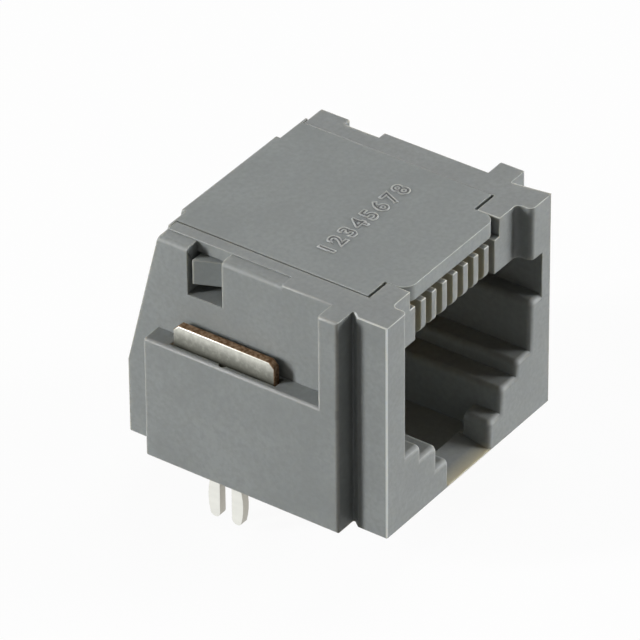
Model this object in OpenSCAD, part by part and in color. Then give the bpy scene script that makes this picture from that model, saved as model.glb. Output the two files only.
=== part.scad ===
// Right-angle board jack for an eight-contact modular plug, latch side towards the board.
// The front face is at y = 0 in the modules below, +Z points away from the board, and the
// whole part is then moved so that the origin lies on the board between the two board locks.

/* [Front frame] */
// Width of the front frame
frame_w = 16; // [15.8:0.05:16.6]
// Depth of the front frame
frame_d = 2.5; // [2.2:0.05:2.9]
// Height of the housing above the board
body_h = 14.05; // [13.8:0.05:15]
// Radius of the inside corners between the frame and the side blocks
corner_r = 0.1; // [0.05:0.05:0.6]

/* [Body] */
// Width over the side walls
wall_w = 15.6; // [15.3:0.05:15.75]
// Depth of the side walls at the board
body_d = 17.7; // [17.2:0.1:19]
// Depth of the side walls at the top
top_d = 15.45; // [15:0.05:16]
// Height at which the rear edges start to lean forward
lean_h = 4.95; // [3:0.05:7]
// Width over the side blocks
block_w = 18.25; // [18:0.05:19.2]
// Length of the side blocks behind the frame
block_l = 13.1; // [12.5:0.05:14]
// Height of the ledge on top of the side blocks
ledge_h = 7.95; // [7:0.01:8.6]
// Length of the full-height pillar at the front of each side block
pillar_l = 1.35; // [0.8:0.05:2]
// Distance from the front face to the rounded part of the top edge of each wall
edge_y = 7.1; // [5:0.1:9]
// Radius of that edge
edge_r = 0.3; // [0.2:0.05:0.6]
// Drop of the band along that edge below the top of the housing
edge_drop = 0.06; // [0.03:0.01:0.15]

/* [Plug opening] */
// Width of the plug cavity
plug_w = 12.1; // [11.8:0.05:12.3]
// Height of the plug cavity
plug_h = 6.1; // [5.8:0.05:6.4]
// Depth of the plug cavity behind the front face
plug_d = 12.6; // [11:0.1:12.8]
// Height of the plug shelves above the board
shelf_h = 4.5; // [4.2:0.05:4.8]
// Width between the upper steps
step_w = 9.3; // [8.4:0.05:10]
// Drop from the plug shelves to the lower steps
step_drop = 0.95; // [0.7:0.05:1.3]
// Width of the latch pocket
latch_w = 6.2; // [5.8:0.05:6.8]
// Gap between the two latch catches
catch_gap = 3.9; // [3.2:0.05:4.4]
// Height of the top of the latch catches above the board
catch_h = 1.95; // [1.6:0.05:2.4]
// Thickness of the latch catches behind the front face
catch_t = 1.8; // [1:0.05:2]
// Floor thickness under the latch pocket
floor_t = 0.35; // [0.3:0.05:0.5]
// Extra thickness of the sill at the front of that floor
sill_t = 0.25; // [0.1:0.05:0.5]
// Depth of that sill
sill_d = 2.05; // [1.9:0.05:3]
// Thickness left at the front edge of the sill, which slopes down to the mouth
sill_lip = 0.12; // [0.1:0.01:0.3]
// Radius round the mouth
mouth = 0.35; // [0.1:0.05:0.4]
// Radius on the long edges of the steps
step_r = 0.4; // [0.4:0.05:0.5]
// How far the keyway on the right reaches beyond the plug cavity
key_reach = 1.1; // [0.8:0.05:1.4]
// Height of the keyway below the roof of the cavity
key_h = 2.85; // [2.2:0.05:3.4]
// Depth of the keyway
key_d = 7; // [4:0.1:10]
// Thickness of the wall behind the plug cavity
stop_t = 0.5; // [0.4:0.05:0.7]

/* [Comb] */
// Spacing of the contacts in the comb
pitch = 1.016; // [1:0.002:1.04]
// Thickness of the comb ribs
rib_w = 0.45; // [0.4:0.01:0.5]
// Distance from the front face to the comb
comb_y = 1; // [0.8:0.05:1.2]
// Radius of the side corners of the recess in front of the comb
recess_r = 0.35; // [0.1:0.05:0.4]
// Gap between the comb and the tongue
comb_gap = 0.22; // [0.15:0.01:0.3]
// Radius at the lower front corner of each rib
rib_r = 0.6; // [0.2:0.05:0.8]

/* [Contact insert] */
// Gap between the insert and the housing
insert_gap = 0.12; // [0.08:0.01:0.16]
// Gap between the insert and the faces of the housing that it is pressed against
seat_gap = 0.03; // [0.02:0.01:0.06]
// Gap in front of the shoulders of the deck
shoulder_gap = 0.2; // [0.1:0.02:0.3]
// Distance from the front face to the wide part of the deck
deck_y = 2.7; // [2.6:0.05:2.8]
// Thickness of the deck over the contacts
deck_t = 2.67; // [2.4:0.01:2.9]
// Thickness of the tongue over the comb
tongue_t = 1; // [0.9:0.01:1.15]
// Width of the tongue
tongue_w = 8.6; // [8.3:0.05:8.8]
// Distance from the front face to the tongue
tongue_y = 1.2; // [1.1:0.02:1.5]
// Radius of the front corners of the tongue
tongue_r = 0.8; // [0.3:0.05:1.1]
// Distance from the front face to the thick part of the deck
thick_y = 3.6; // [3.5:0.05:5]
// Height of the underside of the rear block above the board
rear_lift = 0.3; // [0.1:0.05:0.8]
// How far the rear block stands out behind the side walls
cover_t = 0.2; // [0.15:0.05:0.4]
// How far its rear cover reaches over the end of each side wall
cover_lap = 0.5; // [0.2:0.05:0.8]
// Thickness of the raised panel on the rear block
panel_t = 0.28; // [0.1:0.01:0.5]
// Width of the raised panel
panel_w = 9; // [7:0.1:10]
// Sideways offset of the raised panel towards the rear row of legs
panel_x = 0.42; // [0:0.02:0.8]
// Distance from the front face to the side latch tabs
tab_y = 11.38; // [10.8:0.02:11.6]
// Length of the side latch tabs
tab_l = 1.85; // [1.4:0.05:2.2]
// Height of the underside of the side latch tabs above the board
tab_z = 11.65; // [11.5:0.05:11.8]
// Height of the side latch tabs
tab_h = 1.6; // [1.2:0.05:1.7]
// Width over the tabs at their rear ends
tab_w = 15.32; // [14.9:0.02:15.4]
// Gap in front of and behind each tab in its window
tab_gap = 0.25; // [0.15:0.05:0.3]
// Gap over each tab
tab_head = 0.05; // [0.03:0.01:0.2]
// Gap under each tab
tab_foot = 0.7; // [0.3:0.05:0.8]
// Width over the thin skin of the wall round the tab windows
skin_w = 13.7; // [13.2:0.05:14]

/* [Contacts] */
// Width of the contact strip
contact_w = 0.45; // [0.4:0.01:0.48]
// Thickness of the contact strip
contact_t = 0.3; // [0.25:0.01:0.35]
// Gap between each contact and its slot in the insert
contact_fit = 0.03; // [0.02:0.005:0.05]
// Depth of the contact strip below the underside of the tongue
run_drop = 0.55; // [0.4:0.01:0.65]
// Radius of the front bend at the middle of the strip
bend_r = 0.75; // [0.6:0.01:0.8]
// Distance from the front face to the centre of the front bend
bend_y = 2.5; // [2.3:0.05:2.6]
// Angle of the spring arms below level
arm_angle = 16; // [12:1:18]
// Length of the spring arms
arm_l = 7.4; // [5:0.1:8]
// Radius of the bend above the legs at the middle of the strip
leg_r = 0.4; // [0.3:0.05:0.5]
// Spacing of the tails across the board
tail_pitch = 1.27; // [1.2:0.01:1.3]
// Distance between the two rows of tails
row_gap = 2.54; // [2.3:0.01:2.7]
// Distance from the front face to the front row of tails
row_y = 13.75; // [13.7:0.05:14]
// How far the contacts of the rear row run past the front row before they turn down
rear_turn = 1.05; // [0.9:0.05:1.2]
// Length of the tails below the board face
tail_l = 3.2; // [2:0.1:4]
// Length of the tapered tip of each tail
tip_l = 0.5; // [0.2:0.1:0.8]
// Length over which the level runs fan out to the tail spacing
fan_l = 2.4; // [2:0.1:3]
// Distance from that length to the back of the plug opening
fan_gap = 0.2; // [0.1:0.05:0.4]

/* [Board locks] */
// Distance from the front face to the middle of the board locks
lock_y = 10.47; // [10:0.01:11]
// Thickness of the board lock strip
lock_t = 0.55; // [0.4:0.05:0.6]
// Thickness of the housing lip outside each board lock
lip_t = 0.45; // [0.3:0.05:0.5]
// Length of the plate
lock_l = 6.8; // [6:0.1:7.2]
// Height of the plate's top above the ledge
lock_rise = 1.33; // [0.8:0.01:1.6]
// Depth of the plate's seat below the ledge
lock_seat = 4.9; // [3:0.1:6]
// Chamfer on the top corners of the plate
lock_chamfer = 0.35; // [0.1:0.05:0.6]
// Free length of the slot at each end of the plate
slot_end = 0.12; // [0.1:0.02:0.5]
// Radius of the half-round relief in the lip at the middle of the plate
relief_r = 0.25; // [0.15:0.05:0.3]
// Free width of the slot inside the plate
slot_side = 0.2; // [0.05:0.01:0.25]
// Width over the two legs at the board face
legs_w = 2; // [1.8:0.05:2.4]
// How far each leg bulges outwards
leg_bulge = 0.2; // [0.1:0.01:0.3]
// Gap between the two legs
legs_gap = 0.8; // [0.6:0.05:0.9]
// Length of the legs below the board face
legs_l = 2.7; // [2:0.05:3.5]
// Height of the split between the legs above the board face
split_h = 1.8; // [1:0.1:2.4]
// Free room round the bulged legs in the underside of the housing
leg_fit = 0.05; // [0.03:0.01:0.1]

/* [Hidden] */
$fn = 48;
contact_n = 8;
// Overlap of joined pieces and overrun of cuts
join = 0.1;
plug_hw = plug_w / 2;
wall_hw = wall_w / 2;
skin_hw = skin_w / 2;
roof_z = shelf_h + plug_h;
key_z = roof_z - key_h;
key_hw = plug_hw + key_reach;
step_z = shelf_h - step_drop;
sill_z = floor_t + sill_t;
bay_y = plug_d + stop_t;
deck_z = body_h - deck_t;
deck_hw = plug_hw - insert_gap;
// The deck is pressed against the right wall, so its middle lies a little to the right
deck_w = deck_hw + plug_hw - seat_gap;
deck_x = deck_w / 2 - deck_hw;
tongue_z = body_h - tongue_t;
rib_top = tongue_z - comb_gap;
comb_hw = (contact_n * pitch - rib_w) / 2;
slot_w = contact_w + 2 * contact_fit;
run_z = tongue_z - run_drop;
run_top = run_z + contact_t / 2;
bend_z = run_z - bend_r;
beam_r = bend_r - contact_t / 2 - contact_fit;
beam_back = thick_y - insert_gap;
// The strips fan out from the comb spacing to the tail spacing between these depths
fan_end = plug_d - fan_gap;
fan_start = fan_end - fan_l;
rear_leg_y = row_y + rear_turn;
rear_row_y = row_y + row_gap;
lean_top = run_z - leg_r - contact_t;
window_z = tab_z - tab_foot;
window_h = tab_foot + tab_h + tab_head;
lock_x = block_w / 2 - lip_t - lock_t / 2;
lock_floor = ledge_h - lock_seat;
lock_top = ledge_h + lock_rise;
neck_gap = leg_bulge + leg_fit;
leg_w = (legs_w - legs_gap) / 2;
// Radius of the outer edge of a leg that bulges by leg_bulge over legs_l
bulge_r = (pow(legs_l / 2, 2) + pow(leg_bulge, 2)) / (2 * leg_bulge);

// Across-the-board place of a contact in the comb and of its tail
function comb_x(i) = (i - (contact_n + 1) / 2) * pitch;
function tail_x(i) = (i - (contact_n + 1) / 2) * tail_pitch;
function in_front_row(i) = i % 2 == 0;
function leg_y(i) = in_front_row(i) ? row_y : rear_leg_y;
function tail_y(i) = in_front_row(i) ? row_y : rear_row_y;

// Side view of the walls from depth y and height z back to their rear edge, moved back by extra
function wall_outline(y, z, extra) = [
    [y, z],
    [body_d + extra, z],
    [body_d + extra, lean_h],
    [top_d + extra, body_h],
    [y, body_h]
];

// A band on the rear edge of that outline, from near to far behind it
function rear_band(z, near, far) = [
    [body_d + near, z],
    [body_d + far, z],
    [body_d + far, lean_h],
    [top_d + far, body_h],
    [top_d + near, body_h],
    [body_d + near, lean_h]
];

// Side view (depth, height) drawn as a bar of width w across the part
module bar_x(w) {
    rotate([90, 0, 90]) linear_extrude(w, center = true) children();
}

// Front view (width, height) drawn as a bar of depth d from the front face
module bar_y(d) {
    rotate([90, 0, 0]) mirror([0, 0, 1]) linear_extrude(d) children();
}

module both_sides() {
    children();
    mirror([1, 0, 0]) children();
}

// Moves the part from the front face to its origin between the board locks
module on_board() {
    translate([0, -lock_y, 0]) children();
}

// What a round takes off, or adds to, a square corner whose arc centre is at the far corner
module corner_outline(r) {
    difference() {
        square(r);
        translate([r, r]) circle(r);
    }
}

// Housing

module housing_body() {
    translate([-frame_w / 2, 0, 0]) cube([frame_w, frame_d, body_h]);
    bar_x(wall_w) polygon(wall_outline(frame_d / 2, 0, 0));
    both_sides() translate([0, frame_d, 0]) {
        cube([block_w / 2, block_l, ledge_h]);
        cube([block_w / 2, pillar_l, body_h]);
        translate([frame_w / 2, 0, 0]) mirror([0, 1, 0]) linear_extrude(body_h) corner_outline(corner_r);
    }
}

// One step of the plug opening, from height z0 to z1 and d deep
module opening_step(w, z0, z1, d) {
    translate([-w / 2, -join, z0]) cube([w, d + join, z1 - z0]);
}

// Plan of an opening of width w that flares out to the front face with a round
module flare_plan(w) {
    translate([-w / 2, -join]) square([w, mouth + join]);
    both_sides() translate([w / 2, 0]) corner_outline(mouth);
}

// Flared mouth of that step, with rounds at its sides and along its floor
module opening_mouth(w, z0, z1) {
    intersection() {
        translate([0, 0, z0 - mouth]) linear_extrude(z1 - z0 + mouth) flare_plan(w);
        bar_x(w + 2 * mouth) {
            translate([-join, z0]) square([mouth + join, z1 - z0]);
            translate([0, z0]) mirror([0, 1]) corner_outline(mouth);
        }
    }
}

// Rounds the long edge of a step on the right, at half width x and height z, and carries the round of
// the mouth on round that corner
module step_round(x, z, d) {
    translate([x, 0, z]) bar_y(d) mirror([0, 1]) corner_outline(step_r);
    intersection() {
        translate([x, 0, z - step_r]) cube([step_r, mouth, step_r]);
        translate([x + step_r, 0, z - step_r]) rotate([-90, 0, 0]) rotate_extrude()
            translate([step_r, 0]) mirror([1, 0]) corner_outline(mouth);
    }
}

// Gap between the latch catches, flared at its sides, over a sill that slopes down to the front edge
module catch_opening() {
    top = catch_h + join;
    intersection() {
        bar_x(latch_w) polygon([[-join, sill_lip], [0, sill_lip], [sill_d, sill_z], [sill_d, top], [-join, top]]);
        linear_extrude(top) {
            flare_plan(catch_gap);
            translate([-catch_gap / 2, 0]) square([catch_gap, sill_d]);
        }
    }
}

// Keyway in the right wall, with the round of the mouth along its floor
module keyway() {
    translate([0, -join, key_z]) cube([key_hw, key_d + join, key_h]);
    translate([key_hw / 2, 0, key_z]) bar_x(key_hw) mirror([0, 1]) corner_outline(mouth);
    step_round(plug_hw, key_z, key_d);
}

module plug_opening() {
    opening_step(plug_w, shelf_h, roof_z, plug_d);
    opening_step(step_w, step_z, shelf_h + join, plug_d);
    opening_step(latch_w, catch_h, step_z + join, plug_d);
    catch_opening();
    translate([0, catch_t, 0]) opening_step(latch_w, sill_z, catch_h + join, plug_d - catch_t);
    translate([-latch_w / 2, sill_d, floor_t]) cube([latch_w, plug_d - sill_d, sill_t + join]);
    opening_mouth(plug_w, shelf_h, roof_z);
    opening_mouth(step_w, step_z, shelf_h);
    opening_mouth(latch_w, catch_h, step_z);
    both_sides() {
        step_round(step_w / 2, shelf_h, plug_d);
        step_round(latch_w / 2, step_z, plug_d);
        step_round(catch_gap / 2, catch_h, catch_t);
    }
    keyway();
}

// Recess in front of the comb, open at the top, with rounded side corners
module comb_recess() {
    translate([0, 0, roof_z - join]) linear_extrude(body_h - roof_z + 2 * join) {
        difference() {
            translate([-plug_hw, -join]) square([plug_w, comb_y + join]);
            both_sides() translate([plug_hw, comb_y]) rotate(180) corner_outline(recess_r);
        }
        both_sides() translate([plug_hw, 0]) corner_outline(recess_r);
    }
}

// Room for the contact insert, open at the top, the rear and the board
module insert_bay() {
    tongue_slot_w = tongue_w + 2 * seat_gap;
    front_y = deck_y - shoulder_gap;
    rear_y = body_d + join;
    translate([-comb_hw, -join, roof_z - join]) cube([2 * comb_hw, deck_y + join, body_h]);
    translate([-tongue_slot_w / 2, 0, rib_top]) cube([tongue_slot_w, deck_y, body_h]);
    translate([-plug_hw, front_y, roof_z - join]) cube([plug_w, plug_d - front_y, body_h]);
    translate([-plug_hw, plug_d - join, deck_z - insert_gap]) cube([plug_w, rear_y - plug_d + join, body_h]);
    translate([-plug_hw, bay_y, -join]) cube([plug_w, rear_y - bay_y, body_h]);
}

// Bar that the contacts bend round, and the ribs that keep them apart
module comb() {
    bar_x(2 * comb_hw + join) {
        translate([bend_y, bend_z]) circle(beam_r);
        translate([bend_y, bend_z - beam_r]) square([beam_back - bend_y, 2 * beam_r]);
    }
    for (i = [1 : contact_n - 1]) {
        translate([comb_x(i) + pitch / 2, 0, 0]) bar_x(rib_w) difference() {
            translate([comb_y, roof_z]) square([bend_y - comb_y, rib_top - roof_z]);
            translate([comb_y, roof_z]) corner_outline(rib_r);
        }
    }
}

// Notch and window for a side latch tab
module tab_window() {
    y = tab_y - tab_gap;
    l = tab_l + 2 * tab_gap;
    translate([skin_hw, y, window_z]) cube([wall_hw, l, body_h]);
    translate([plug_hw - join, y, window_z]) cube([skin_hw - plug_hw + 2 * join, l, window_h]);
}

// Slot for a board lock: the plate above its seat and the legs below it
module lock_slot() {
    slot_t = lock_t + slot_side + contact_fit;
    plate_l = lock_l + 2 * slot_end;
    neck_l = legs_w + 2 * neck_gap;
    translate([lock_x - lock_t / 2 - slot_side, lock_y, 0]) {
        translate([0, -plate_l / 2, lock_floor]) cube([slot_t, plate_l, body_h]);
        translate([0, -neck_l / 2, -join]) cube([slot_t, neck_l, body_h]);
        translate([slot_t, 0, lock_floor]) cylinder(h = body_h, r = relief_r);
    }
}

// Shallow step and rounded edge along the top of a side wall
module wall_edge() {
    z = body_h - edge_drop;
    translate([0, edge_y, 0]) bar_y(body_d - edge_y) {
        translate([skin_hw, z]) square([wall_hw, body_h]);
        translate([wall_hw, z]) rotate(180) corner_outline(edge_r);
    }
}

module housing() {
    color("#8c8e8c") on_board() {
        difference() {
            housing_body();
            plug_opening();
            comb_recess();
            insert_bay();
            both_sides() {
                tab_window();
                lock_slot();
                wall_edge();
            }
        }
        comb();
    }
}

// Contact insert

module deck_plan() {
    translate([-deck_hw, deck_y]) square([deck_w, bay_y - deck_y]);
    translate([-tongue_w / 2, tongue_y + tongue_r]) square([tongue_w, deck_y - tongue_y]);
    translate([-tongue_w / 2 + tongue_r, tongue_y]) square([tongue_w - 2 * tongue_r, deck_y - tongue_y]);
    both_sides() translate([tongue_w / 2 - tongue_r, tongue_y + tongue_r]) circle(tongue_r);
}

// Ramp that snaps out through the wall window and holds the insert in
module side_tab() {
    translate([0, tab_y, tab_z]) linear_extrude(tab_h) polygon([
        [deck_hw - join, 0],
        [skin_hw, 0],
        [tab_w / 2, tab_l],
        [deck_hw - join, tab_l]
    ]);
}

module insert_body() {
    translate([0, 0, tongue_z]) linear_extrude(tongue_t) deck_plan();
    translate([-deck_hw, thick_y, deck_z]) cube([deck_w, bay_y + 2 * insert_gap - thick_y, deck_t]);
    translate([deck_x, 0, 0]) bar_x(deck_w) polygon(wall_outline(bay_y + insert_gap, rear_lift, cover_t));
    bar_x(plug_w + 2 * cover_lap) polygon(rear_band(rear_lift, seat_gap, cover_t));
    translate([-panel_x, 0, 0]) bar_x(panel_w) polygon(rear_band(rear_lift, 0, cover_t + panel_t));
    both_sides() side_tab();
}

// Plan view of the level run of contact i, w wide, from the front bend to depth y1
module run_plan(i, w, y1) {
    c = comb_x(i);
    t = tail_x(i);
    h = w / 2;
    polygon([
        [c - h, bend_y], [c - h, fan_start], [t - h, fan_end], [t - h, y1],
        [t + h, y1], [t + h, fan_end], [c + h, fan_start], [c + h, bend_y]
    ]);
}

// Side view of the leg of contact i between heights z0 and z1, moved back by extra
module leg_outline(i, front, back, z0, z1) {
    polygon([
        [leg_y(i) + front, z1], [leg_y(i) + front, lean_top], [tail_y(i) + front, lean_h], [tail_y(i) + front, z0],
        [tail_y(i) + back, z0], [tail_y(i) + back, lean_h], [leg_y(i) + back, lean_top], [leg_y(i) + back, z1]
    ]);
}

// Groove under the deck and slot in the rear block for contact i
module contact_slot(i) {
    back = contact_t / 2 + contact_fit;
    translate([0, 0, deck_z - join]) linear_extrude(run_top + contact_fit - deck_z + join)
        run_plan(i, slot_w, leg_y(i) + back);
    translate([tail_x(i), 0, 0]) bar_x(slot_w) polygon([
        [plug_d, rear_lift - join],
        [tail_y(i) + back, rear_lift - join],
        [tail_y(i) + back, lean_h],
        [leg_y(i) + back, lean_top],
        [leg_y(i) + back, run_top + contact_fit],
        [plug_d, run_top + contact_fit]
    ]);
}

module contact_insert() {
    color("#888a88") on_board() difference() {
        insert_body();
        for (i = [1 : contact_n]) contact_slot(i);
    }
}

// Contacts

// Front bend and the spring arm that slopes down into the plug cavity
module contact_front() {
    far = 2 * bend_r;
    translate([bend_y, bend_z]) {
        intersection() {
            difference() {
                circle(bend_r + contact_t / 2);
                circle(bend_r - contact_t / 2);
            }
            translate([-far, -far]) square([far, 2 * far]);
            rotate(-arm_angle) translate([-far, -far]) square([far, 2 * far]);
        }
        rotate(-arm_angle) {
            translate([0, -bend_r - contact_t / 2]) square([arm_l, contact_t]);
            translate([arm_l, -bend_r]) circle(contact_t / 2);
        }
    }
}

// Leg and tail behind the plug cavity
module contact_rear(i) {
    h = contact_t / 2;
    tip = h / 2;
    translate([leg_y(i) - leg_r, run_z - leg_r]) mirror([1, 0]) intersection() {
        difference() {
            circle(leg_r + h);
            circle(leg_r - h);
        }
        translate([-leg_r - h, 0]) square(leg_r + h);
    }
    leg_outline(i, -h, h, tip_l - tail_l, run_z - leg_r);
    translate([tail_y(i), -tail_l]) polygon([[-tip, 0], [tip, 0], [h, tip_l], [-h, tip_l]]);
}

module contact(i) {
    color("#c8a04a") on_board() {
        translate([comb_x(i), 0, 0]) bar_x(contact_w) contact_front();
        translate([0, 0, run_z - contact_t / 2]) linear_extrude(contact_t) run_plan(i, contact_w, leg_y(i) - leg_r);
        translate([tail_x(i), 0, 0]) bar_x(contact_w) contact_rear(i);
    }
}

// Board locks

// Half of the split legs, with a bulged outer edge and a rounded tip
module lock_leg() {
    tip_r = (leg_w + leg_bulge / 2) / 2;
    intersection() {
        translate([legs_gap / 2, -legs_l]) square([leg_w + leg_bulge, legs_l + split_h]);
        translate([legs_w / 2 + leg_bulge - bulge_r, -legs_l / 2]) circle(bulge_r, $fn = 96);
        union() {
            translate([0, tip_r - legs_l]) square([legs_w, legs_l + split_h]);
            translate([legs_gap / 2 + tip_r, tip_r - legs_l]) circle(tip_r);
        }
    }
}

module lock_outline() {
    half_l = lock_l / 2;
    polygon([
        [-half_l, lock_floor], [half_l, lock_floor], [half_l, lock_top - lock_chamfer],
        [half_l - lock_chamfer, lock_top], [lock_chamfer - half_l, lock_top], [-half_l, lock_top - lock_chamfer]
    ]);
    difference() {
        translate([-legs_w / 2, 0]) square([legs_w, lock_floor + join]);
        translate([-legs_gap / 2, -join]) square([legs_gap, split_h + join]);
    }
    both_sides() lock_leg();
}

module board_lock() {
    color("#cfcfc8") on_board() translate([lock_x, lock_y, 0]) bar_x(lock_t) lock_outline();
}

module board_lock_right() {
    board_lock();
}

module board_lock_left() {
    mirror([1, 0, 0]) board_lock();
}

housing();
contact_insert();
for (i = [1 : contact_n]) {
    contact(i);
}
board_lock_left();
board_lock_right();
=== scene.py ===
import math

import bmesh
import bpy
from mathutils import Matrix, Vector
from mathutils.bvhtree import BVHTree


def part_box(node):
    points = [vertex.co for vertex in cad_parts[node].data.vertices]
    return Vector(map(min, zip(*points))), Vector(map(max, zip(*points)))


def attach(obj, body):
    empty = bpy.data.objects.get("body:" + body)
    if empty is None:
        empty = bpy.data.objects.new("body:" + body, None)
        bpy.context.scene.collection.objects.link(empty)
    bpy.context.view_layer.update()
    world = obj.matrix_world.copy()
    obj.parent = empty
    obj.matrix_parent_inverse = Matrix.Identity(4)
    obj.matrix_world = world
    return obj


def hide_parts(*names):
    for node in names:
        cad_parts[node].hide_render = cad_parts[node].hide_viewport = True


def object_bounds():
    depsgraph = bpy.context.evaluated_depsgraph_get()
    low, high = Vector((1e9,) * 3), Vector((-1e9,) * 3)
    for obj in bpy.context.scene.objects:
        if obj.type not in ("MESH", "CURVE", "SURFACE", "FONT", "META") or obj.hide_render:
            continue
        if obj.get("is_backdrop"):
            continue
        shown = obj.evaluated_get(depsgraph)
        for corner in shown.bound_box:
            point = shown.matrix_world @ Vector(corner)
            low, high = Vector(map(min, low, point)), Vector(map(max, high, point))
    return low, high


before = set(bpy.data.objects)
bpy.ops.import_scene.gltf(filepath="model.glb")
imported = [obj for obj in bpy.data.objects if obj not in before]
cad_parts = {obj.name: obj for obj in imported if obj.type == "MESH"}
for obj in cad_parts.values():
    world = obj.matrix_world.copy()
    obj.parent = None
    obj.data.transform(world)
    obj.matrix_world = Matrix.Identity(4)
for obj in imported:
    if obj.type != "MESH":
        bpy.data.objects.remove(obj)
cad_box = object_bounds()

MM = 0.001
# Where the front face of the housing lies, in metres
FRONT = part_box("housing")[0].y

# Sockets of a node that mixes colours: its share, its two colours and its result
SHARE, FIRST, SECOND, MIXED = 0, 6, 7, 2

# Camera fitted to the photo: place in millimetres, its right and up directions, and its lens
CAMERA_PLACE = (-261.721, -186.919, 229.459)
CAMERA_RIGHT = (0.576869, -0.816812, -0.006298)
CAMERA_UP = (0.469124, 0.324985, 0.821162)
CAMERA_LENS = 394.03
CAMERA_SENSOR = 36.0
CAMERA_CLIP = (0.01, 20.0)

# Rounds on the edges of each kind of piece, in millimetres
MOULDED_ROUND = 0.1
INSERT_ROUND = 0.012
STRIP_ROUND = 0.05
STAMPED_ROUND = 0.06
# Places with other rounds, each a box in millimetres (distance from the middle plane, depth from
# the front face, height above the board) with its round
HOUSING_ROUNDS = [
    ((9.0, 4.0, 7.7), (9.2, 15.6, 8.2), 0.16),     # ledges of the side blocks
    ((9.0, 2.4, -0.1), (9.2, 4.2, 14.2), 0.18),    # pillars
    ((7.9, -0.1, -0.1), (8.1, 0.1, 14.2), 0.09),   # upright corners of the front face
    ((3.0, 0.5, 10.0), (4.5, 2.8, 14.2), 0.05),    # ends of the recess over the comb
    ((0.0, 0.5, 10.0), (3.0, 4.0, 14.2), 0.05),    # comb
    ((4.5, 2.3, 10.0), (6.2, 20.0, 14.2), 0.03),   # seats of the insert
    ((6.5, 10.9, 10.5), (7.8, 13.6, 13.9), 0.04),  # side windows
]
INSERT_ROUNDS = [
    ((0.0, 1.0, 13.9), (4.4, 2.2, 14.2), 0.12),    # front edge of the tongue
    ((6.2, 11.0, 11.0), (8.0, 13.6, 13.6), 0.04),  # latch tabs
    ((0.0, 15.0, -0.1), (7.0, 19.0, 14.2), 0.08),  # rear block and cover
]
ROUND_STEPS = 3

# Which edges are rounded or show as a line: angles between their faces, and the size of a broad
# face in square millimetres
SHARP_ANGLE = math.radians(50)
CREASE_ANGLE = math.radians(8)
BROAD_FACE = 3.0
# How rounds are kept apart: the angle within which edges follow each other in line, the shares of
# the room and of a curve that a round may take, the least bend of a curve, how many times its size
# a round looks ahead, and where along an edge the room is measured
IN_LINE_ANGLE = math.radians(35)
ROOM_SHARE = 0.42
CURVE_SHARE = 0.5
LEAST_BEND = 0.01
LOOK_ROUNDS = 4
EDGE_SAMPLES = (0.1, 0.5, 0.9)
# How rounds that don't fit are eased: how far a point may stand out in millimetres, how many tries
# there are, and the least share of a round that is kept
SPIKE = 0.004
EASE_TRIES = 8
LEAST_WEIGHT = 0.04
# Points this near in millimetres are merged, and faces at less than this angle count as one
MERGE_GAP = 0.001
FLAT_ANGLE = math.radians(0.5)

# Height of the ledges of the side blocks above the board, in millimetres
LEDGE_HEIGHT = 7.95

# Top of the right wall, which has a plain edge, in millimetres: from the middle plane, its depths
# from the front face, and the heights between which the source rounds it
WALL_INNER, WALL_ROUND, WALL_OUTER = 6.84, 7.49, 7.8
WALL_FRONT, WALL_REAR = 7.09, 15.45
WALL_LOW, WALL_TOP = 13.68, 14.05
# Sides of the front frame, drawn in towards the pillars, in millimetres: half the width, depths of
# the round that meets the pillar, how far it is drawn in, and where that starts on the left
FRAME_SIDE, FRAME_ROUND = 8.0, 0.1
NECK_DEPTH, FRAME_DEPTH = 2.4, 2.5
NECK_IN, NECK_START = 0.35, 1.95
# Rear of the right pillar, in millimetres from the front face, and how much longer than the left
# one it is
PILLAR_REAR, PILLAR_LONGER = 3.85, 0.28
# Notch over the right window, in millimetres: its inner face from the middle plane, how much
# shallower it is than the left one, and its depths from the front face
NOTCH_INNER, NOTCH_OUT = 6.85, 0.35
NOTCH_FRONT, NOTCH_REAR = 11.13, 13.48
# How near to such a place a point of it lies, in millimetres, and how squarely a side face looks
# sideways
CLOSE = 0.02
SIDEWAYS = 0.99

# Raised contact numbers on the deck, in millimetres
CONTACTS = 8
CONTACT_PITCH = 1.016
NUMBER_SIZE = 1.45
NUMBER_RISE = 0.02
NUMBER_RIM = 0.06
NUMBER_RIM_STEPS = 2
NUMBER_SPREAD = 0.03
NUMBER_FRONT = 6.6
NUMBER_MERGE_GAP = 0.0005

# Moulded plastic: sizes of its grain, flow marks and flecks and height of the grain in millimetres,
# how far the grain changes the roughness, the refraction, and the light inside it: its share, how
# far each colour spreads, and how deep in millimetres
GRAIN_SIZE, FLOW_SIZE, FLECK_SIZE = 0.13, 3.5, 0.3
GRAIN_HEIGHT = 0.012
GRAIN_ROUGHNESS = 0.06
POLYESTER_IOR = 1.5
SEE_THROUGH = 1.0
SCATTER_COLOUR = (1.0, 0.92, 0.76)
SCATTER_DEPTH = 0.5
# Tin-plated strip: spacing of the rolling marks, sizes of the plate's clouds and spots and height
# of the marks in millimetres, and the scale of the marks along the strip, which draws them out
ROLLED_SIZE, CLOUD_SIZE, SPOT_SIZE = 0.16, 0.35, 0.22
ROLLED_HEIGHT = 0.01
ROLLED_STRETCH = 0.12
# Contact strip, in millimetres: size of the marks of its die, height above the board where the gold
# starts, and over what height it comes in
DRAWN_SIZE = 0.2
GOLD_ABOVE, GOLD_FADE = 1.0, 0.4

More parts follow.
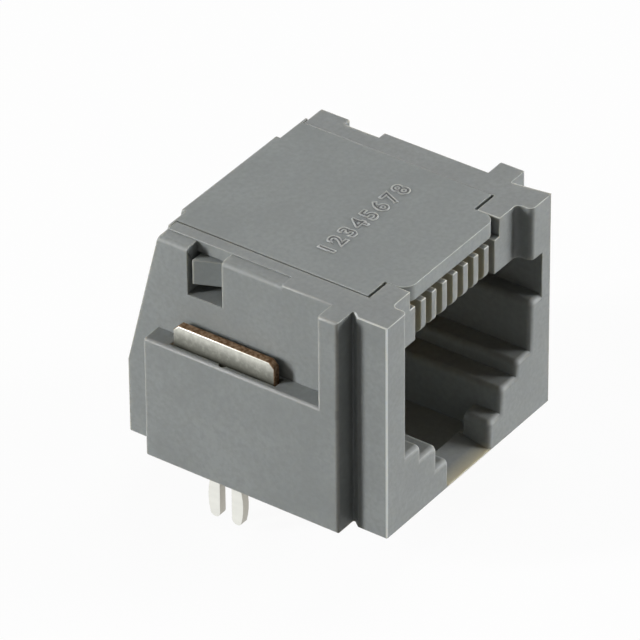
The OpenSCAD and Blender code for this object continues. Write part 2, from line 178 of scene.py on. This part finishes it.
# Tints laid over a surface, each with its limits. A limit names a measure, the value at which the
# tint is full, and the value at which it has faded away. Across, deep and high are millimetres to
# the right of the middle plane, behind the front face and above the board. Rightward, rearward and
# upward say which way the surface faces there. Spots is a pattern on the locks, from 0 to 1.
HOUSING_PAINTED_GLOW = [
    # painted glow of the light that comes through the thin front edge of the sill
    ("#B5AF99", [("deep", 0.05, 0.9), ("high", 0.3, 0.6),
                 ("across", -1.9, -2.2), ("across", 1.9, 2.2)]),
    # painted glow of the light that comes through to the left faces of the comb ribs
    ("#969688", [("rightward", -0.8, -0.5), ("across", -3.6, -3.8), ("across", 3.6, 3.8),
                 ("deep", 2.6, 3.0), ("high", 10.4, 10.2)]),
]
EDGE_PAINTED_LIGHT_AND_SHADE = [
    # along the ledges, back to about the plain grey of the body, without the painted highlight of
    # the other rounds
    ("#858786", [("high", LEDGE_HEIGHT - 0.25, LEDGE_HEIGHT - 0.35),
                 ("high", LEDGE_HEIGHT + 0.25, LEDGE_HEIGHT + 0.35)]),
    # painted shade on the rounds that face the rear, where the side light falls on them
    ("#767877", [("rearward", 0.6, 0.2)]),
    # painted highlight on the rounds along the top of the front
    ("#B8BAB6", [("deep", 2.4, 2.6), ("high", 12.4, 12.2), ("upward", 0.4, 0.2)]),
    # painted shade on the rounds round the side windows
    ("#707270", [("deep", 10.85, 10.65), ("deep", 13.65, 13.85),
                 ("high", 10.4, 10.2), ("high", 13.8, 14.0)]),
    # painted shade on the right upright corner of the front face
    ("#6E706C", [("deep", 0.2, 0.4), ("across", 7.7, 7.5),
                 ("upward", -0.2, -0.5), ("upward", 0.2, 0.5)]),
    # painted highlight on the left upright corner of the front face
    ("#D4D9DA", [("deep", 0.2, 0.4), ("across", -7.7, -7.5),
                 ("upward", -0.2, -0.5), ("upward", 0.2, 0.5)]),
]
BARE_EDGE = [("high", 3.0, 2.0), ("rightward", -0.45, -0.75), ("rightward", 0.45, 0.75)]
LOCK_TINTS = [
    # painted shade below the top of the plate, in spots
    ("#92938B", [("high", LEDGE_HEIGHT + 0.6, LEDGE_HEIGHT + 1.15), ("spots", 0.58, 0.15)]),
    # painted shade that darkens the plate towards the slot
    ("#5E5E56", [("high", LEDGE_HEIGHT, LEDGE_HEIGHT - 1.1),
                 ("high", LEDGE_HEIGHT, LEDGE_HEIGHT + 1.1)]),
    # legs, and their sheared sides
    ("#D8D8D2", [("high", 2.0, 3.0)]),
    ("#B0ADA4", [("high", 2.0, 3.0), ("rightward", -0.45, -0.8), ("rightward", 0.45, 0.8)]),
    # bare bronze of the sheared edges, with paler spots
    ("#765A40", BARE_EDGE),
    ("#A88D72", [*BARE_EDGE, ("spots", 0.62, 0.4)]),
]

# Softboxes: azimuth from the front towards the right, elevation, light level on a face turned to
# them, and width and height in metres
SOFTBOX_DISTANCE = 0.5
SIDE_BOX = (-131, 16, 1.13, 0.08, 0.26)
FRONT_BOX = (42, 12, 1.04, 0.2, 0.2)
TOP_BOX = (100, 65, 0.28, 0.25, 0.25)
# Light from all round, and the floor: half its side in metres, how far in millimetres it lies below
# the legs, how pale it is to lighting rays and to the eye, and how much of its shadow shows
AMBIENT = 0.05
AMBIENT_COLOUR = "#FFF6E6"
FLOOR_SIZE = 3.0
FLOOR_GAP = 0.02
FLOOR_BOUNCE = 0.4
FLOOR_PALE = 0.92
FLOOR_SHADOW = 0.06


def colour(hex_code):
    """Linear RGBA of an sRGB hex code."""
    parts = [int(hex_code[i:i + 2], 16) / 255 for i in (1, 3, 5)]
    linear = [c / 12.92 if c <= 0.04045 else ((c + 0.055) / 1.055) ** 2.4 for c in parts]
    return (*linear, 1.0)


def grain_scale(size_mm):
    """Texture scale at which one cell of a pattern is size_mm wide."""
    return 1 / (size_mm * MM)


def add(tree, kind, inputs=(), **settings):
    """Adds a node with its settings, and sets or links its inputs."""
    node = tree.nodes.new(kind)
    for name, value in settings.items():
        setattr(node, name, value)
    for name, value in dict(inputs).items():
        socket = node.inputs[name]
        if isinstance(value, bpy.types.NodeSocket):
            tree.links.new(value, socket)
        else:
            socket.default_value = value
    return node


def new_material(name):
    """An empty material with its output, its shader and the object coordinates."""
    material = bpy.data.materials.new(name)
    material.use_nodes = True
    tree = material.node_tree
    tree.nodes.clear()
    shader = add(tree, "ShaderNodeBsdfPrincipled")
    add(tree, "ShaderNodeOutputMaterial", {"Surface": shader.outputs["BSDF"]})
    coords = add(tree, "ShaderNodeTexCoord")
    return material, tree, shader, coords


def painted(tree, coords, shade, tints, **patterns):
    """A shade with tints laid over it, one after the other, each within its limits. Patterns are
    further measures of the surface, by name."""
    place = add(tree, "ShaderNodeMapping", {"Vector": coords.outputs["Object"],
                                            "Scale": (1 / MM, 1 / MM, 1 / MM),
                                            "Location": (0.0, -FRONT / MM, 0.0)})
    at = add(tree, "ShaderNodeSeparateXYZ", {0: place.outputs[0]}).outputs
    facing = add(tree, "ShaderNodeSeparateXYZ", {0: coords.outputs["Normal"]}).outputs
    measures = {"across": at["X"], "deep": at["Y"], "high": at["Z"], "rightward": facing["X"],
                "rearward": facing["Y"], "upward": facing["Z"], **patterns}
    for tint, limits in tints:
        share = 1.0
        for measure, full_at, gone_at in limits:
            within = add(tree, "ShaderNodeMapRange", {"Value": measures[measure], "To Max": share,
                                                      "From Min": gone_at, "From Max": full_at})
            share = within.outputs[0]
        over = add(tree, "ShaderNodeMix", {SHARE: share, FIRST: shade, SECOND: colour(tint)},
                   data_type="RGBA")
        shade = over.outputs[MIXED]
    return shade


def moulded_polyester(name, dark, light, rough, tints=()):
    """Glass-filled polyester from a spark-eroded mould: dull grey with a fine grain, faint flow
    marks and flecks, and a little light that passes through thin ribs and comes out warm. Tints
    laid over it paint highlights, shade and glow where they are given. The real grain is about
    0.04 mm and is drawn at 0.13 mm, so that it shows in the render."""
    material, tree, shader, coords = new_material(name)
    place = coords.outputs["Object"]
    grain = add(tree, "ShaderNodeTexNoise", {"Vector": place, "Scale": grain_scale(GRAIN_SIZE),
                                             "Detail": 2.0})
    flow = add(tree, "ShaderNodeTexNoise", {"Vector": place, "Scale": grain_scale(FLOW_SIZE),
                                            "Detail": 3.0})
    fleck = add(tree, "ShaderNodeTexNoise", {"Vector": place, "Scale": grain_scale(FLECK_SIZE),
                                             "Detail": 1.0})
    tone = add(tree, "ShaderNodeMath", {0: flow.outputs["Fac"], 1: fleck.outputs["Fac"]},
               operation="MULTIPLY")
    share = add(tree, "ShaderNodeMapRange", {"Value": tone.outputs[0],
                                             "From Min": 0.12, "From Max": 0.4})
    grey = add(tree, "ShaderNodeMix", {SHARE: share.outputs[0], FIRST: colour(dark),
                                       SECOND: colour(light)}, data_type="RGBA")
    shade = grey.outputs[MIXED]
    if tints:
        shade = painted(tree, coords, shade, tints)
    dull = add(tree, "ShaderNodeMapRange", {"Value": grain.outputs["Fac"],
                                            "From Min": 0.3, "From Max": 0.7,
                                            "To Min": rough - GRAIN_ROUGHNESS,
                                            "To Max": rough + GRAIN_ROUGHNESS})
    bump = add(tree, "ShaderNodeBump", {"Height": grain.outputs["Fac"], "Strength": 0.25,
                                        "Distance": GRAIN_HEIGHT * MM})
    tree.links.new(shade, shader.inputs["Base Color"])
    tree.links.new(dull.outputs[0], shader.inputs["Roughness"])
    tree.links.new(bump.outputs["Normal"], shader.inputs["Normal"])
    shader.inputs["IOR"].default_value = POLYESTER_IOR
    shader.inputs["Subsurface Weight"].default_value = SEE_THROUGH
    shader.inputs["Subsurface Radius"].default_value = SCATTER_COLOUR
    shader.inputs["Subsurface Scale"].default_value = SCATTER_DEPTH * MM
    return material


def tin_plated_stamping(name):
    """Bronze strip with a dull tin plate, rolling marks along its length, and sheared top edges
    left bare and brown. Painted shade darkens the plate towards its slot, and in spots below its
    top, and the legs are plated all round, duller on their sheared sides."""
    material, tree, shader, coords = new_material(name)
    place = coords.outputs["Object"]
    along = add(tree, "ShaderNodeMapping", {"Vector": place, "Scale": (1.0, ROLLED_STRETCH, 1.0)})
    rolled = add(tree, "ShaderNodeTexNoise", {"Vector": along.outputs[0], "Detail": 3.0,
                                              "Scale": grain_scale(ROLLED_SIZE)})
    cloud = add(tree, "ShaderNodeTexNoise", {"Vector": place, "Scale": grain_scale(CLOUD_SIZE),
                                             "Detail": 4.0})
    spots = add(tree, "ShaderNodeTexNoise", {"Vector": place, "Scale": grain_scale(SPOT_SIZE),
                                             "Detail": 3.0})
    share = add(tree, "ShaderNodeMapRange", {"Value": cloud.outputs["Fac"],
                                             "From Min": 0.35, "From Max": 0.65})
    tin = add(tree, "ShaderNodeMix", {SHARE: share.outputs[0], FIRST: colour("#B4B4AC"),
                                      SECOND: colour("#CACAC1")}, data_type="RGBA")
    shade = painted(tree, coords, tin.outputs[MIXED], LOCK_TINTS, spots=spots.outputs["Fac"])
    dull = add(tree, "ShaderNodeMapRange", {"Value": rolled.outputs["Fac"],
                                            "To Min": 0.38, "To Max": 0.6})
    bump = add(tree, "ShaderNodeBump", {"Height": rolled.outputs["Fac"], "Strength": 0.25,
                                        "Distance": ROLLED_HEIGHT * MM})
    tree.links.new(shade, shader.inputs["Base Color"])
    tree.links.new(dull.outputs[0], shader.inputs["Roughness"])
    tree.links.new(bump.outputs["Normal"], shader.inputs["Normal"])
    shader.inputs["Metallic"].default_value = 1.0
    return material


def plated_contact_strip(name):
    """Bronze contact strip, drawn smooth through a die: gold-plated above the board, with bright
    tin on the tails."""
    material, tree, shader, coords = new_material(name)
    place = coords.outputs["Object"]
    drawn = add(tree, "ShaderNodeTexNoise", {"Vector": place, "Scale": grain_scale(DRAWN_SIZE),
                                             "Detail": 2.0})
    height = add(tree, "ShaderNodeSeparateXYZ", {0: place})
    golden = add(tree, "ShaderNodeMapRange", {"Value": height.outputs["Z"],
                                              "From Min": GOLD_ABOVE * MM,
                                              "From Max": (GOLD_ABOVE + GOLD_FADE) * MM})
    gold = add(tree, "ShaderNodeMix", {SHARE: drawn.outputs["Fac"], FIRST: colour("#D3A548"),
                                       SECOND: colour("#E3BC66")}, data_type="RGBA")
    tin = add(tree, "ShaderNodeMix", {SHARE: drawn.outputs["Fac"], FIRST: colour("#C6C5BE"),
                                      SECOND: colour("#DCDBD4")}, data_type="RGBA")
    shade = add(tree, "ShaderNodeMix", {SHARE: golden.outputs[0], FIRST: tin.outputs[MIXED],
                                        SECOND: gold.outputs[MIXED]}, data_type="RGBA")
    dull = add(tree, "ShaderNodeMapRange", {"Value": drawn.outputs["Fac"],
                                            "To Min": 0.2, "To Max": 0.36})
    tree.links.new(shade.outputs[MIXED], shader.inputs["Base Color"])
    tree.links.new(dull.outputs[0], shader.inputs["Roughness"])
    shader.inputs["Metallic"].default_value = 1.0
    return material


def turn_at(edge, other):
    """Angle by which a path turns where it goes from one edge to another at their shared vertex."""
    shared = next(v for v in edge.verts if v in other.verts)
    into = shared.co - edge.other_vert(shared).co
    out = other.other_vert(shared).co - shared.co
    return into.angle(out, 0.0)


def outline_run(loop, forward, reach):
    """Edges that carry on in line from a corner loop of a face, as far as reach, and the first one
    that turns away."""
    run, length, here = [], 0.0, loop
    while True:
        step = here.link_loop_next if forward else here.link_loop_prev
        if step.edge is loop.edge:
            return run, None
        if turn_at(here.edge, step.edge) > IN_LINE_ANGLE:
            return run, step
        run.append(step.edge)
        length += step.edge.calc_length()
        here = step
        if length > reach:
            return run, None


def edge_runs(edges):
    """Groups of edges that follow each other in line, which take one round."""
    left = set(edges)
    while left:
        run = [left.pop()]
        for edge in run:
            beside = {e for v in edge.verts for e in v.link_edges if e in left}
            ahead = [e for e in beside if turn_at(edge, e) < IN_LINE_ANGLE]
            run.extend(ahead)
            left.difference_update(ahead)
        yield run


def path_length(edges):
    """Length of several edges together."""
    return sum(e.calc_length() for e in edges)


def gap_to(point, edge):
    """Distance from a point to an edge."""
    a, b = (v.co for v in edge.verts)
    along = b - a
    share = max(0.0, min(1.0, (point - a).dot(along) / along.length_squared))
    return (point - a - along * share).length


def room_beside(edge, wanted):
    """Largest round, up to wanted, that an edge and the faces on both sides of it have room for."""
    a, b = (v.co for v in edge.verts)
    samples = [a.lerp(b, share) for share in EDGE_SAMPLES]
    room = wanted
    for loop in edge.link_loops:
        near = {edge}
        own = [edge]
        for forward in (True, False):
            run, turned = outline_run(loop, forward, LOOK_ROUNDS * wanted)
            near.update(run)
            own.extend(run)
            if run:
                bend = turn_at(edge, run[0])
                room = min(room, CURVE_SHARE * edge.calc_length() / max(bend, LEAST_BEND))
            if turned:
                near.add(turned.edge)
                beyond, _ = outline_run(turned, forward, LOOK_ROUNDS * wanted)
                near.update(beyond)
                room = min(room, ROOM_SHARE * path_length([turned.edge, *beyond]))
        room = min(room, ROOM_SHARE * path_length(own))
        for other in loop.face.edges:
            if other not in near:
                room = min(room, ROOM_SHARE * min(gap_to(p, other) for p in samples))
    return room


def is_crease(edge):
    """True for an edge that shows as a line: a sharp one, or a slight bend between broad faces."""
    angle = edge.calc_face_angle()
    broad = all(face.calc_area() > BROAD_FACE * MM ** 2 for face in edge.link_faces)
    return angle > SHARP_ANGLE or (broad and angle > CREASE_ANGLE)


def spikes(piece, solid, reach):
    """Points of the rounded piece that stand out of its solid or lie deeper in it than a round can,
    each with its distance."""
    shape = piece.evaluated_get(bpy.context.evaluated_depsgraph_get()).to_mesh()
    for vertex in shape.vertices:
        near, normal, _, gap = solid.find_nearest(vertex.co)
        if gap > (SPIKE * MM if (vertex.co - near).dot(normal) > 0 else reach):
            yield vertex.co.copy(), gap


def ease_spikes(piece, runs, round_m):
    """Halves the rounds beside which a point stands out, and takes them off where that isn't
    enough."""
    bm = bmesh.new()
    bm.from_mesh(piece.data)
    solid = BVHTree.FromBMesh(bm)
    weights = piece.data.attributes["bevel_weight_edge"].data
    for _ in range(EASE_TRIES):
        bpy.context.view_layer.update()
        found = list(spikes(piece, solid, round_m))
        if not found:
            break
        bm.edges.ensure_lookup_table()
        for run in runs:
            if any(gap_to(point, bm.edges[i]) < gap + round_m for point, gap in found for i in run):
                eased = weights[run[0]].value / 2
                for i in run:
                    weights[i].value = eased if eased > LEAST_WEIGHT else 0.0
        piece.data.update()
    bm.free()


def round_at(edge, round_mm, places):
    """Round in metres that an edge of a piece has, by its place."""
    middle = (edge.verts[0].co + edge.verts[1].co) / 2
    spot = [abs(middle.x) / MM, (middle.y - FRONT) / MM, middle.z / MM]
    for low, high, local_mm in places:
        if all(a <= s <= b for a, s, b in zip(low, spot, high)):
            return local_mm * MM
    return round_mm * MM


def merge_flat_faces(bm):
    """Merges doubled points, and then the faces that lie flat beside each other."""
    bmesh.ops.remove_doubles(bm, verts=bm.verts, dist=MERGE_GAP * MM)
    bmesh.ops.dissolve_degenerate(bm, edges=bm.edges, dist=MERGE_GAP * MM)
    bmesh.ops.dissolve_limit(bm, angle_limit=FLAT_ANGLE, verts=bm.verts, edges=bm.edges)


def trim_housing(bm):
    """Draws the sides of the front frame in where they meet the pillars, lengthens the right
    pillar, fills some of the notch over the right window, and squares the top edge of the right
    wall, which has a round only in the source."""
    front = FRONT / MM
    left_side = [f for f in bm.faces if f.normal.x < -SIDEWAYS
                 and abs(f.calc_center_median().x / MM + FRAME_SIDE) < CLOSE]
    outline = {part for face in left_side for part in (*face.edges, *face.verts)}
    bmesh.ops.bisect_plane(bm, geom=[*left_side, *outline], plane_no=(0, 1, 0),
                           plane_co=(0, (front + NECK_START) * MM, 0))
    for vertex in bm.verts:
        x, y, z = vertex.co / MM
        depth = y - front
        in_neck = NECK_DEPTH - CLOSE < depth < FRAME_DEPTH + CLOSE
        if in_neck and -CLOSE < abs(x) - FRAME_SIDE < FRAME_ROUND + CLOSE:
            vertex.co.x -= math.copysign(NECK_IN, x) * MM
        if x > WALL_OUTER - CLOSE and abs(depth - PILLAR_REAR) < CLOSE and z > LEDGE_HEIGHT - CLOSE:
            vertex.co.y += PILLAR_LONGER * MM
        if abs(x - NOTCH_INNER) < CLOSE and NOTCH_FRONT - CLOSE < depth < NOTCH_REAR + CLOSE:
            x += NOTCH_OUT
            vertex.co.x = x * MM
        if x > WALL_INNER and depth > WALL_FRONT and WALL_LOW < z < WALL_TOP:
            corner = WALL_OUTER if x > WALL_ROUND else x
            vertex.co = Vector((corner, min(y, front + WALL_REAR), WALL_TOP)) * MM
    merge_flat_faces(bm)


def rounded_copy(node, piece_name, round_mm, finishes, places=(), reshape=None):
    """Copy of a CAD node with its flat faces merged and its outer edges rounded, which stands for
    the node. Its last finish goes on the rounds, and reshape changes its form before they are
    made."""
    round_m = max([round_mm, *(local_mm for _, _, local_mm in places)]) * MM
    mesh = bpy.data.meshes.new(piece_name)
    bm = bmesh.new()
    bm.from_mesh(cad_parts[node].data)
    merge_flat_faces(bm)
    if reshape:
        reshape(bm)
    bm.edges.index_update()
    weight = bm.edges.layers.float.new("bevel_weight_edge")
    for face in bm.faces:
        face.smooth = True
        face.material_index = 0
    for edge in bm.edges:
        edge.smooth = not is_crease(edge)
    runs = []
    outer = [e for e in bm.edges if e.is_convex and e.calc_face_angle() > SHARP_ANGLE]
    for run in edge_runs(outer):
        room = min(room_beside(edge, round_at(edge, round_mm, places)) for edge in run)
        for edge in run:
            edge[weight] = room / round_m
        runs.append([edge.index for edge in run])
    bm.to_mesh(mesh)
    bm.free()
    piece = bpy.data.objects.new(piece_name, mesh)
    bpy.context.scene.collection.objects.link(piece)
    for finish in finishes:
        mesh.materials.append(finish)
    rounds = piece.modifiers.new("edge_rounds", "BEVEL")
    rounds.width = round_m
    rounds.limit_method = "WEIGHT"
    rounds.segments = ROUND_STEPS
    rounds.profile = 0.5
    rounds.use_clamp_overlap = False
    rounds.material = len(finishes) - 1
    ease_spikes(piece, runs, round_m)
    shading = piece.modifiers.new("flat_faces", "WEIGHTED_NORMAL")
    shading.keep_sharp = True
    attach(piece, "root")
    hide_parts(node)


def contact_numbers(painted_highlight_rim_finish, painted_shade_hollow_finish):
    """Plain numbers 1 to 8 on the deck, one above each contact, each a raised rim round a darker
    hollow. The rim is a lighter copy of the plastic, a painted highlight, and the hollow a darker
    one, painted shade."""
    deck_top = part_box("contact_insert")[1].z
    bm = bmesh.new()
    for contact in range(1, CONTACTS + 1):
        curve = bpy.data.curves.new("number", "FONT")
        curve.body = str(contact)
        curve.size = NUMBER_SIZE * MM
        curve.align_x = "CENTER"
        curve.offset = NUMBER_SPREAD * MM
        number = bpy.data.objects.new("number", curve)
        bpy.context.scene.collection.objects.link(number)
        across = (contact - (CONTACTS + 1) / 2) * CONTACT_PITCH * MM
        place = Matrix.Translation((across, FRONT + NUMBER_FRONT * MM, deck_top))
        for is_rim in (False, True):
            curve.fill_mode = "NONE" if is_rim else "BOTH"
            curve.extrude = 0.0 if is_rim else NUMBER_RISE * MM
            curve.bevel_depth = NUMBER_RIM * MM if is_rim else 0.0
            curve.bevel_resolution = NUMBER_RIM_STEPS
            bpy.context.view_layer.update()
            outline = bmesh.new()
            outline.from_mesh(number.evaluated_get(bpy.context.evaluated_depsgraph_get()).to_mesh())
            bmesh.ops.remove_doubles(outline, verts=outline.verts, dist=NUMBER_MERGE_GAP * MM)
            bmesh.ops.dissolve_degenerate(outline, edges=outline.edges, dist=NUMBER_MERGE_GAP * MM)
            bmesh.ops.recalc_face_normals(outline, faces=outline.faces)
            bmesh.ops.transform(outline, matrix=place, verts=outline.verts)
            for face in outline.faces:
                face.material_index = 0 if is_rim else 1
                face.smooth = is_rim
            shape = bpy.data.meshes.new("number")
            outline.to_mesh(shape)
            outline.free()
            bm.from_mesh(shape)
            bpy.data.meshes.remove(shape)
        bpy.data.objects.remove(number)
    mesh = bpy.data.meshes.new("contact_numbers")
    bm.to_mesh(mesh)
    bm.free()
    piece = bpy.data.objects.new("contact_numbers", mesh)
    bpy.context.scene.collection.objects.link(piece)
    mesh.materials.append(painted_highlight_rim_finish)
    mesh.materials.append(painted_shade_hollow_finish)
    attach(piece, "root")


def photo_camera():
    """The camera at the photo's place and angle."""
    data = bpy.data.cameras.new("photo_camera")
    data.lens = CAMERA_LENS
    data.sensor_width = CAMERA_SENSOR
    data.clip_start, data.clip_end = CAMERA_CLIP
    camera = bpy.data.objects.new("photo_camera", data)
    bpy.context.scene.collection.objects.link(camera)
    right = Vector(CAMERA_RIGHT)
    up = Vector(CAMERA_UP)
    turn = Matrix((right, up, right.cross(up))).transposed()
    camera.matrix_world = Matrix.Translation(Vector(CAMERA_PLACE) * MM) @ turn.to_4x4()
    bpy.context.scene.camera = camera


def softbox(name, azimuth, elevation, level, width, height):
    """Softbox turned to the part, which lights a face that looks at it to the given level."""
    data = bpy.data.lights.new(name, "AREA")
    data.shape = "RECTANGLE"
    data.size = width
    data.size_y = height
    data.energy = level * math.pi ** 2 * SOFTBOX_DISTANCE ** 2
    box = bpy.data.objects.new(name, data)
    bpy.context.scene.collection.objects.link(box)
    a, e = math.radians(azimuth), math.radians(elevation)
    towards = Vector((math.sin(a) * math.cos(e), -math.cos(a) * math.cos(e), math.sin(e)))
    middle = (cad_box[0] + cad_box[1]) / 2
    box.location = middle + towards * SOFTBOX_DISTANCE
    box.rotation_euler = towards.to_track_quat("Z", "Y").to_euler()
    box.visible_camera = False


def seen_directly(tree):
    """1 for rays from the camera and for reflections, which see the white background, and 0 for
    those that light the part."""
    path = add(tree, "ShaderNodeLightPath").outputs
    shiny = add(tree, "ShaderNodeMath", {0: path["Is Glossy Ray"], 1: path["Is Transmission Ray"]},
                operation="MAXIMUM")
    seen = add(tree, "ShaderNodeMath", {0: path["Is Camera Ray"], 1: shiny.outputs[0]},
               operation="MAXIMUM")
    return seen.outputs[0]


def white_surroundings():
    """White all round to the eye, which lights the part only a little."""
    world = bpy.data.worlds.new("studio_white")
    bpy.context.scene.world = world
    world.use_nodes = True
    tree = world.node_tree
    tree.nodes.clear()
    seen = seen_directly(tree)
    strength = add(tree, "ShaderNodeMapRange", {"Value": seen, "To Min": AMBIENT, "To Max": 1.0})
    tone = add(tree, "ShaderNodeMix", {SHARE: seen, FIRST: colour(AMBIENT_COLOUR),
                                       SECOND: colour("#FFFFFF")}, data_type="RGBA")
    sky = add(tree, "ShaderNodeBackground", {"Color": tone.outputs[MIXED],
                                             "Strength": strength.outputs[0]})
    add(tree, "ShaderNodeOutputWorld", {"Surface": sky.outputs[0]})


def pale_floor():
    """Floor of white paper, which keeps a faint shadow."""
    material = bpy.data.materials.new("pale_floor")
    material.use_nodes = True
    tree = material.node_tree
    tree.nodes.clear()
    seen = seen_directly(tree)
    tone = add(tree, "ShaderNodeMapRange", {"Value": seen,
                                            "To Min": FLOOR_BOUNCE, "To Max": FLOOR_PALE})
    paper = add(tree, "ShaderNodeBsdfDiffuse", {"Color": tone.outputs[0]})
    white = add(tree, "ShaderNodeEmission", {"Color": colour("#FFFFFF"), "Strength": 1.0})
    share = add(tree, "ShaderNodeMath", {0: seen, 1: 1 - FLOOR_SHADOW}, operation="MULTIPLY")
    mixed = add(tree, "ShaderNodeMixShader", {0: share.outputs[0], 1: paper.outputs[0],
                                              2: white.outputs[0]})
    add(tree, "ShaderNodeOutputMaterial", {"Surface": mixed.outputs[0]})
    bm = bmesh.new()
    bmesh.ops.create_grid(bm, x_segments=1, y_segments=1, size=FLOOR_SIZE)
    bmesh.ops.translate(bm, verts=bm.verts, vec=(0, 0, cad_box[0].z - FLOOR_GAP * MM))
    mesh = bpy.data.meshes.new("floor")
    bm.to_mesh(mesh)
    bm.free()
    mesh.materials.append(material)
    floor = bpy.data.objects.new("floor", mesh)
    bpy.context.scene.collection.objects.link(floor)
    floor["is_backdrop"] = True


bpy.context.scene.view_settings.view_transform = "Standard"
photo_camera()
white_surroundings()
pale_floor()
softbox("side_box", *SIDE_BOX)
softbox("front_box", *FRONT_BOX)
softbox("top_box", *TOP_BOX)

housing_finish = moulded_polyester("moulded_grey_polyester", "#848887", "#8E9291", rough=0.55,
                                   tints=HOUSING_PAINTED_GLOW)
# the rounds are painted a lighter grey than the body, a painted highlight along the edges, with
# more painted highlight and shade laid over it by place
edge_light_and_shade_finish = moulded_polyester("grey_edges_painted_light_and_shade", "#8E908E", "#989A98", rough=0.48,
                                tints=EDGE_PAINTED_LIGHT_AND_SHADE)
insert_finish = moulded_polyester("insert_grey_polyester", "#848988", "#8D9291", rough=0.55)
# painted highlight on the rims of the numbers, and painted shade in their hollows
painted_highlight_rim_finish = moulded_polyester("raised_grey_rims_painted_highlight", "#B0B0A6", "#C0C0B6", rough=0.45)
painted_shade_hollow_finish = moulded_polyester("shaded_grey_hollows", "#6F706A", "#7C7D77", rough=0.6)
lock_finish = tin_plated_stamping("tin_plated_bronze")
contact_finish = plated_contact_strip("gold_and_tin_bronze")

rounded_copy("housing", "moulded_housing", MOULDED_ROUND,
             [housing_finish, edge_light_and_shade_finish], HOUSING_ROUNDS, trim_housing)
rounded_copy("contact_insert", "moulded_insert", INSERT_ROUND,
             [insert_finish, edge_light_and_shade_finish], INSERT_ROUNDS)
for number in range(1, CONTACTS + 1):
    rounded_copy(f"contact_{number}", f"contact_strip_{number}", STRIP_ROUND,
                 [contact_finish])
for side in ("left", "right"):
    rounded_copy(f"board_lock_{side}", f"stamped_lock_{side}", STAMPED_ROUND,
                 [lock_finish])
contact_numbers(painted_highlight_rim_finish, painted_shade_hollow_finish)

[[list(corner) for corner in box] for box in (cad_box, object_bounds())]
